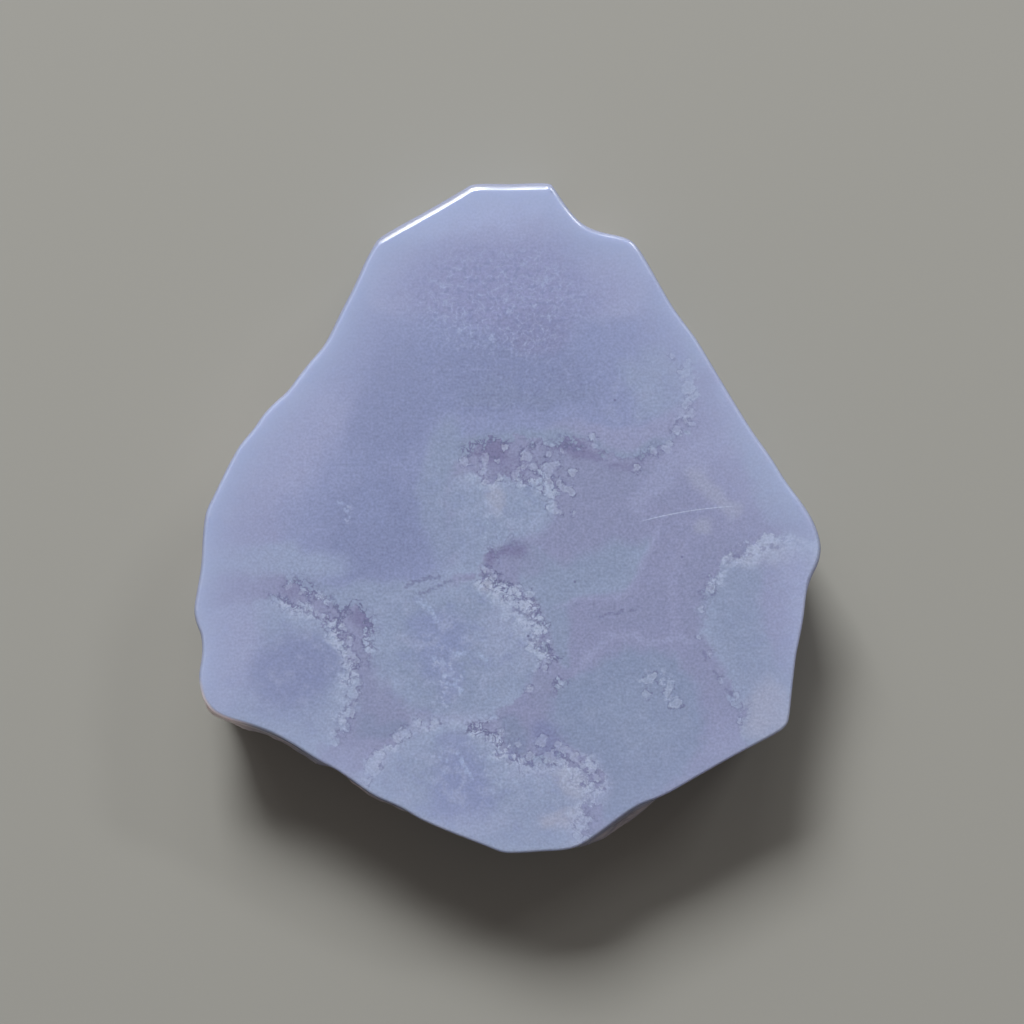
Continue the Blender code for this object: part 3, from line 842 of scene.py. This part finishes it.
        # the arc is a tenth of a millimetre wide or a little more, and 11 mm long
        centre, radius, half_width = (31.0, -52.0, 0.0), 53.5, 0.09
        span = self.add("VectorMath", {0: self.place, 1: centre}, 1, operation="DISTANCE")
        line = self.near(span, radius, 0.02, half_width)
        span = self.add("VectorMath", {0: self.place, 1: (22.6, 0.0, 0.0)}, 1, operation="DISTANCE")
        ends = self.add("MapRange", {0: span, 1: 4.4, 2: 6.6, 3: 1.0, 4: 0.0}, **SMOOTH)
        self.lay(Tone.PEBBLE, line, ends)
        for x, y in SPECKS:
            span = self.add("VectorMath", {0: self.place, 1: (x, y, 0.0)}, 1, operation="DISTANCE")
            self.lay(Tone.INK, self.add("MapRange", {0: span, 1: 0.08, 2: 0.24, 3: 0.9, 4: 0.0}, **SMOOTH))

    def grain(self) -> None:
        """Adds the sugary grain, which lightens and darkens the stone by up to a fifth or so."""
        sugar, curl = self.noise["sugar"], self.noise["curl"]
        fine = self.add("MapRange", {0: sugar, 1: 0.25, 2: 0.75, 3: -0.15, 4: 0.15}, clamp=False)
        broad = self.add("MapRange", {0: curl, 1: 0.25, 2: 0.75, 3: 0.93, 4: 1.07}, clamp=False)
        level = self.add("Math", {0: fine, 1: broad}, operation="ADD")
        self.colour = self.add("VectorMath", {0: self.colour, 3: level}, operation="SCALE")

    def painted_light_and_weather(self) -> None:
        """Lays the painted glow of the lit rim, the painted shade on the sides, the natural skin with its
        pale rind, made paler as painted light, and painted light on the heel.
        """
        squeeze = (1 / self.streak_length, 1 / self.streak_length, 1 / self.streak_height)
        streak = self.add("VectorMath", {0: self.place, 1: squeeze}, operation="MULTIPLY")
        streak = self.add("TexNoise", {"Vector": streak, "Scale": 1.0, "Detail": 4.0, "Roughness": 0.65})
        streak = self.add("MapRange", {0: streak, 1: 0.38, 2: 0.64}, **SMOOTH)
        # painted glow: paler tones near the rim, strongest where it looks to the light
        self.lay(Tone.LILAC_PALE, self.stored["painted_glow_far"], 0.7)
        self.lay(Tone.FROST, self.stored["painted_glow_near"], 0.65)
        # painted shade: the sides greyed and darkened, most where they look to the light
        self.lay(Tone.GROUND, self.stored["side"], 0.85)
        self.lay(Tone.WEATHERED, self.stored["skin"], 0.8)
        # the rind's pale streaks, partly its own colour and partly painted light on shaded sides
        self.lay(Tone.RIND, streak, self.stored["skin"], 0.85)
        # painted light: a pale pink wash that lifts the lower left corner, which lies in shade
        self.lay(Tone.BLUSH, self.stored["heel"], 0.85)

    def paint(self) -> Socket:
        """Lays everything in order.

        Returns:
            The stone's colour.
        """
        for layer in (self.growths, self.blotches, self.crust, self.moss, self.pebbles, self.threads):
            layer()
        for layer in (self.scratch, self.grain, self.painted_light_and_weather):
            layer()
        return self.colour


@dataclass(frozen=True)
class PolishedChalcedony:
    """Blue chalcedony, sawn and polished: milky and translucent, with a clean glassy gloss.

    Light that enters it spreads a little over two millimetres, red the furthest, so its edges
    glow. Its natural sides are matt and slightly weathered, and read from the skin attribute.
    """

    ior: float = 1.54
    polished: float = 0.16
    matt: float = 0.55
    milkiness: float = 0.8
    bleed: float = 2.2 * MM
    bleed_colour: tuple[float, float, float] = (1.0, 0.85, 0.8)

    def material(self, face_height: float) -> bpy.types.Material:
        """Builds the material.

        Args:
            face_height: the height of the polished face, in metres.

        Returns:
            The material.
        """
        material = bpy.data.materials.new("polished blue chalcedony")
        material.use_nodes = True
        tree = material.node_tree
        shader = tree.nodes["Principled BSDF"]
        painter = StonePainter(tree, face_height)
        tree.links.new(painter.paint(), shader.inputs["Base Color"])
        rough = painter.add("MapRange", {0: painter.stored["skin"], 3: self.polished, 4: self.matt})
        tree.links.new(rough, shader.inputs["Roughness"])
        shader.inputs["IOR"].default_value = self.ior
        shader.inputs["Subsurface Weight"].default_value = self.milkiness
        shader.inputs["Subsurface Radius"].default_value = self.bleed_colour
        shader.inputs["Subsurface Scale"].default_value = self.bleed
        return material


@dataclass
class SlabSurface:
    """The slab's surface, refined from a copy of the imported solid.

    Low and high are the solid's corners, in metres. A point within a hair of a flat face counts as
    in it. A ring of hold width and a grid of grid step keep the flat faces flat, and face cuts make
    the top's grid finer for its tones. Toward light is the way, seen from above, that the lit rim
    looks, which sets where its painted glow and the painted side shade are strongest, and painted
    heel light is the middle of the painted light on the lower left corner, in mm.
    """

    node: str = "slab"
    slot: str = "blue_chalcedony"
    hair: float = 0.001 * MM
    hold_width: float = 0.2 * MM
    grid_step: float = 3.0 * MM
    face_cuts: int = 3
    toward_light: tuple[float, float] = (-0.39, 0.92)
    heel: Place = (-36.4, -24.6)
    piece: bpy.types.Object = field(init=False)
    low: Vector = field(init=False)
    high: Vector = field(init=False)

    def build(self, frame: dict[str, object]) -> bpy.types.Object:
        """Builds the slab's surface and dresses it.


        Returns:
            The finished piece.
        """
        self.low, self.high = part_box(self.node)
        self.copy_solid(frame["nodes"][self.node])
        outline = self.outline()
        self.grid_caps()
        self.smooth()
        self.split_skin()
        self.mark(outline)
        self.roughen()
        self.piece.data.materials.append(PolishedChalcedony().material(self.high.z))
        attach(self.piece, "root")
        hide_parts(self.node)
        return self.piece

    def copy_solid(self, source: bpy.types.Object) -> None:
        """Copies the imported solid, merges its loose triangles, and leaves the copy active.

        Args:
            source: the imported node's object.
        """
        bpy.ops.object.select_all(action="DESELECT")
        self.piece = bpy.data.objects.new("polished_slab", source.data.copy())
        bpy.context.scene.collection.objects.link(self.piece)
        self.piece.data.materials.clear()
        self.piece.select_set(True)
        bpy.context.view_layer.objects.active = self.piece
        bpy.ops.mesh.customdata_custom_splitnormals_clear()
        bpy.ops.object.mode_set(mode="EDIT")
        bpy.ops.mesh.select_all(action="SELECT")
        bpy.ops.mesh.remove_doubles(threshold=self.hair)
        bpy.ops.mesh.tris_convert_to_quads(face_threshold=math.radians(14), shape_threshold=math.radians(60))
        bpy.ops.object.mode_set(mode="OBJECT")

    def outline(self) -> np.ndarray:
        """Reads the points of the top face's edge, in order round the slab.

        Returns:
            Their x and y, one row each.
        """
        points = np.array([v.co for v in self.piece.data.vertices])
        ring = points[points[:, 2] > self.high.z - self.hair][:, :2]
        middle = ring.mean(axis=0)
        turn = np.arctan2(ring[:, 1] - middle[1], ring[:, 0] - middle[0])
        return ring[np.argsort(turn)]

    def select_caps(self, inner: bool = False, foot: bool = True) -> None:
        """Selects the faces that lie wholly in the top face or the underside, in edit mode.

        Args:
            inner: whether those that touch the edge of the flat face are left out.
            foot: whether the underside's are selected too.
        """
        mesh = bmesh.from_edit_mesh(self.piece.data)
        for face in mesh.faces:
            heights = [vert.co.z for vert in face.verts]
            flat_top = min(heights) > self.high.z - self.hair
            flat_foot = foot and max(heights) < self.low.z + self.hair
            face.select_set(flat_top or flat_foot)
        if inner:
            edge = [
                face for face in mesh.faces
                if face.select and not all(near.select for vert in face.verts for near in vert.link_faces)
            ]
            for face in edge:
                face.select_set(False)
        bmesh.update_edit_mesh(self.piece.data)

    def grid_caps(self) -> None:
        """Gives the flat faces a narrow holding ring and a grid, so that they stay flat."""
        bpy.context.tool_settings.mesh_select_mode = (False, False, True)
        bpy.ops.object.mode_set(mode="EDIT")
        bpy.ops.mesh.select_all(action="DESELECT")
        self.select_caps()
        bpy.ops.mesh.dissolve_faces()
        bpy.ops.mesh.region_to_loop()
        bpy.ops.transform.edge_crease(value=1.0)
        bpy.context.tool_settings.mesh_select_mode = (False, False, True)
        self.select_caps()
        bpy.ops.mesh.inset(thickness=self.hold_width)
        for axis in (0, 1):
            extent = self.high[axis] - self.low[axis]
            count = int(extent / self.grid_step)
            for step in range(1, count + 1):
                normal = [0.0, 0.0, 0.0]
                normal[axis] = 1.0
                point = [0.0, 0.0, 0.0]
                point[axis] = self.low[axis] + extent * step / (count + 1)
                self.select_caps(inner=True)
                bpy.ops.mesh.bisect(plane_co=point, plane_no=normal)
        self.select_caps(inner=True)
        bpy.ops.mesh.quads_convert_to_tris(quad_method="BEAUTY", ngon_method="BEAUTY")
        self.select_caps(inner=True)
        bpy.ops.mesh.tris_convert_to_quads(face_threshold=math.radians(1), shape_threshold=math.radians(25))
        self.select_caps(inner=True, foot=False)
        bpy.ops.mesh.subdivide(number_cuts=self.face_cuts)
        bpy.ops.object.mode_set(mode="OBJECT")

    def smooth(self) -> None:
        """Rounds the facets of the outline off, and keeps the flat faces' own edges crisp."""
        modifier = self.piece.modifiers.new("round off", "SUBSURF")
        modifier.levels = 1
        modifier.render_levels = 1
        bpy.ops.object.modifier_apply(modifier=modifier.name)
        bpy.ops.object.shade_smooth_by_angle(angle=math.radians(50))
        bpy.ops.object.mode_set(mode="EDIT")
        bpy.ops.mesh.select_all(action="DESELECT")
        self.select_caps()
        bpy.ops.mesh.region_to_loop()
        bpy.ops.mesh.mark_sharp()
        bpy.context.tool_settings.mesh_select_mode = (False, False, True)
        bpy.ops.object.mode_set(mode="OBJECT")

    def split_skin(self) -> None:
        """Splits the faces of the natural skin, so that they can take its relief."""
        bpy.ops.object.mode_set(mode="EDIT")
        bpy.ops.mesh.select_all(action="DESELECT")
        mesh = bmesh.from_edit_mesh(self.piece.data)
        middles = np.array([face.calc_center_median() for face in mesh.faces]) / MM
        for face, share in zip(mesh.faces, self.natural(middles, self.high.z / MM - middles[:, 2])):
            face.select_set(share > 0.0)
        bmesh.update_edit_mesh(self.piece.data)
        bpy.ops.mesh.subdivide(number_cuts=1)
        bpy.ops.object.mode_set(mode="OBJECT")

    def mark(self, outline: np.ndarray) -> None:
        """Stores what the material reads at each vertex, worked out in mm.

        Args:
            outline: the top face's edge.
        """
        points = np.empty(len(self.piece.data.vertices) * 3)
        self.piece.data.vertices.foreach_get("co", points)
        points = points.reshape(-1, 3) / MM
        below = self.high.z / MM - points[:, 2]
        # the painted side shading begins 0.15 mm under the face, and the painted heel light fades out 5.2 mm
        # from its middle
        side = np.clip(below / 0.15, 0.0, 1.0)
        far = np.hypot(*(points[:, :2] - self.heel).T)
        self.store("heel", side * np.clip((5.2 - far) / 3.0, 0.0, 1.0))
        self.store("skin", self.natural(points, below))
        # painted shade on the sides, stronger where they face the light and catch it
        self.store("side", side * self.light_rim(outline / MM, points, below))
        markings = Markings(np.column_stack([points[:, :2], -below]), below)
        for name, values in (
            ("growth", markings.skin()), ("pebble", markings.pebble()), ("thread", markings.lines(THREADS)),
            ("arc", markings.lines(ARCS)), ("outer", markings.outer()), ("inner", markings.inner()),
        ):
            self.store(name, values)
        for name, rows in WEIGHTS.items():
            self.store(name, markings.weight(rows))

    def light_rim(self, rim: np.ndarray, points: np.ndarray, below: np.ndarray) -> np.ndarray:
        """Stores a painted glow along the lit rim, near and far, strongest where the rim looks to the light.

        Args:
            rim: the points of the top face's edge, in mm.
            points: the vertices, in mm.
            below: their depths under the top face.

        Returns:
            How much of the painted side shade each vertex takes, more where its side looks to the light.
        """
        ahead = np.roll(rim, -1, axis=0) - np.roll(rim, 1, axis=0)
        length = np.linalg.norm(ahead, axis=1)
        outward = np.stack([ahead[:, 1], -ahead[:, 0]], axis=1) / length[:, None]
        # the painted glow reaches 5 mm and 1.6 mm in from the rim, and fades within 5 mm below it
        facing = np.clip(0.5 + 0.6 * (outward @ np.array(self.toward_light)), 0.0, 1.0)
        for name, reach in (("painted_glow_far", 5.0), ("painted_glow_near", 1.6)):
            glow = np.zeros(len(points))
            whole = np.zeros(len(points))
            for place, share, span in zip(rim, 0.25 + 0.75 * facing, length / 2):
                near = np.exp(-np.hypot(*(points[:, :2] - place).T) / reach) * span / (2 * reach)
                glow += near * share
                whole += near
            self.store(name, np.clip(glow * np.exp(-below / 5.0), 0.0, 1.0))
        return 0.2 + 0.8 * glow / whole

    def natural(self, points: np.ndarray, below: np.ndarray) -> np.ndarray:
        """Works out how natural the side is: 0 on the worked rim and faces, 1 on rough skin.

        Args:
            points: the points, in mm.
            below: their depths under the top face.

        Returns:
            One share for each point.
        """
        share = np.zeros(len(points))
        for x, y, radius in NATURAL_PATCHES:
            span = np.hypot(points[:, 0] - x, points[:, 1] - y)
            share = np.maximum(share, np.clip((radius - span) / 6.0, 0.0, 1.0))
        # it begins half a millimetre under the face and ends a tenth above the foot
        under_rim = np.clip((below - 0.5) / 0.9, 0.0, 1.0)
        over_foot = np.clip((13.9 - below) / 0.6, 0.0, 1.0)
        return share * (under_rim * over_foot)

    def store(self, name: str, values: np.ndarray) -> None:
        """Stores one number or one colour for each vertex under a name.

        Args:
            name: the name that the material reads.
            values: one row for each vertex.
        """
        kind, value = ("FLOAT", "value") if values.ndim == 1 else ("FLOAT_VECTOR", "vector")
        layer = self.piece.data.attributes.new(name, kind, "POINT")
        layer.data.foreach_set(value, values.astype(np.float32).ravel())

    def roughen(self) -> None:
        """Sinks flake scars and grain into the natural skin, and leaves the rest as it is."""
        values = np.empty(len(self.piece.data.vertices), np.float32)
        self.piece.data.attributes["skin"].data.foreach_get("value", values)
        group = self.piece.vertex_groups.new(name="natural skin")
        for index in np.nonzero(values > 0.001)[0]:
            group.add([int(index)], float(values[index]), "REPLACE")
        for name, kind, size, depth in (
            ("flake scars", "VORONOI", 3.4 * MM, 0.55 * MM),
            ("granular skin", "CLOUDS", 0.8 * MM, 0.22 * MM),
        ):
            pattern = bpy.data.textures.new(name, kind)
            pattern.noise_scale = size
            modifier = self.piece.modifiers.new(name, "DISPLACE")
            modifier.texture = pattern
            modifier.texture_coords = "LOCAL"
            modifier.vertex_group = group.name
            modifier.strength = depth
            modifier.mid_level = 1.0
            bpy.ops.object.modifier_apply(modifier=modifier.name)


@dataclass(frozen=True)
class Softbox:
    """A soft light: the way to it in degrees, its width and height in metres, its power in watts."""

    name: str
    azimuth: float
    elevation: float
    width: float
    height: float
    power: float
    distance: float = 2.0

    def hang(self) -> None:
        """Hangs it so that it faces the slab."""
        azimuth = math.radians(self.azimuth)
        elevation = math.radians(self.elevation)
        flat = math.cos(elevation)
        toward = Vector((-math.sin(azimuth) * flat, math.cos(azimuth) * flat, math.sin(elevation)))
        data = bpy.data.lights.new(self.name, "AREA")
        data.shape = "RECTANGLE"
        data.size = self.width
        data.size_y = self.height
        data.energy = self.power
        light = bpy.data.objects.new(self.name, data)
        light.location = toward * self.distance
        light.rotation_euler = toward.to_track_quat("Z", "Y").to_euler()
        bpy.context.scene.collection.objects.link(light)


@dataclass(frozen=True)
class MattFloor:
    """Painted board: a matt pale grey that takes soft shadows and hardly shines."""

    colour: str = "90908b"
    roughness: float = 0.7
    sheen_level: float = 0.2

    def material(self) -> bpy.types.Material:
        """Builds the material.

        Returns:
            The material.
        """
        material = bpy.data.materials.new("matt painted board")
        material.use_nodes = True
        shader = material.node_tree.nodes["Principled BSDF"]
        shader.inputs["Base Color"].default_value = linear(self.colour)
        shader.inputs["Roughness"].default_value = self.roughness
        shader.inputs["Specular IOR Level"].default_value = self.sheen_level
        return material


@dataclass
class Studio:
    """The floor, the lights and the camera. Lengths are in metres, but the lens and film in mm."""

    floor_size: float = 4.0
    boxes: tuple[Softbox, ...] = (
        Softbox("key", 15.0, 37.0, 0.72, 0.56, 45.0),
        Softbox("wide key", 12.0, 33.0, 1.6, 0.8, 15.0),
        Softbox("second", -40.0, 33.0, 0.5, 0.14, 5.5),
    )
    fill: float = 0.215
    fill_colour: str = "f6ebe6"
    eye: tuple[float, float, float] = (0.56 * MM, 0.72 * MM, 0.414)
    lens: float = 112.5
    film_width: float = 36.0
    nearest: float = 0.01
    furthest: float = 10.0

    def build(self) -> None:
        """Builds all of it."""
        self.floor()
        for box in self.boxes:
            box.hang()
        self.surround()
        self.camera()
        bpy.context.scene.view_settings.view_transform = "Standard"

    def floor(self) -> None:
        """Lays a plain pale floor."""
        bpy.ops.object.select_all(action="DESELECT")
        bpy.ops.mesh.primitive_plane_add(size=self.floor_size, location=(0, 0, 0))
        floor = bpy.context.object
        floor.name = "floor"
        floor.data.materials.append(MattFloor().material())

    def surround(self) -> None:
        """Fills the shadows with even light from all round."""
        world = bpy.data.worlds.new("surround")
        world.use_nodes = True
        back = world.node_tree.nodes["Background"]
        back.inputs["Color"].default_value = linear(self.fill_colour)
        back.inputs["Strength"].default_value = self.fill
        bpy.context.scene.world = world

    def camera(self) -> None:
        """Sets the camera straight above the slab."""
        data = bpy.data.cameras.new("camera")
        data.lens = self.lens
        data.sensor_width = self.film_width
        data.clip_start = self.nearest
        data.clip_end = self.furthest
        camera = bpy.data.objects.new("camera", data)
        camera.location = self.eye
        bpy.context.scene.collection.objects.link(camera)
        bpy.context.scene.camera = camera


def main() -> None:
    """Builds the slab's surface and its studio in order."""
    logging.basicConfig(level=logging.INFO, format="%(name)s: %(message)s")
    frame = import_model()
    piece = SlabSurface().build(frame)
    piece.data.calc_loop_triangles()
    LOG.info("%s: %d triangles", piece.name, len(piece.data.loop_triangles))
    Studio().build()
    LOG.info("studio built")


if __name__ == "__main__":
    main()
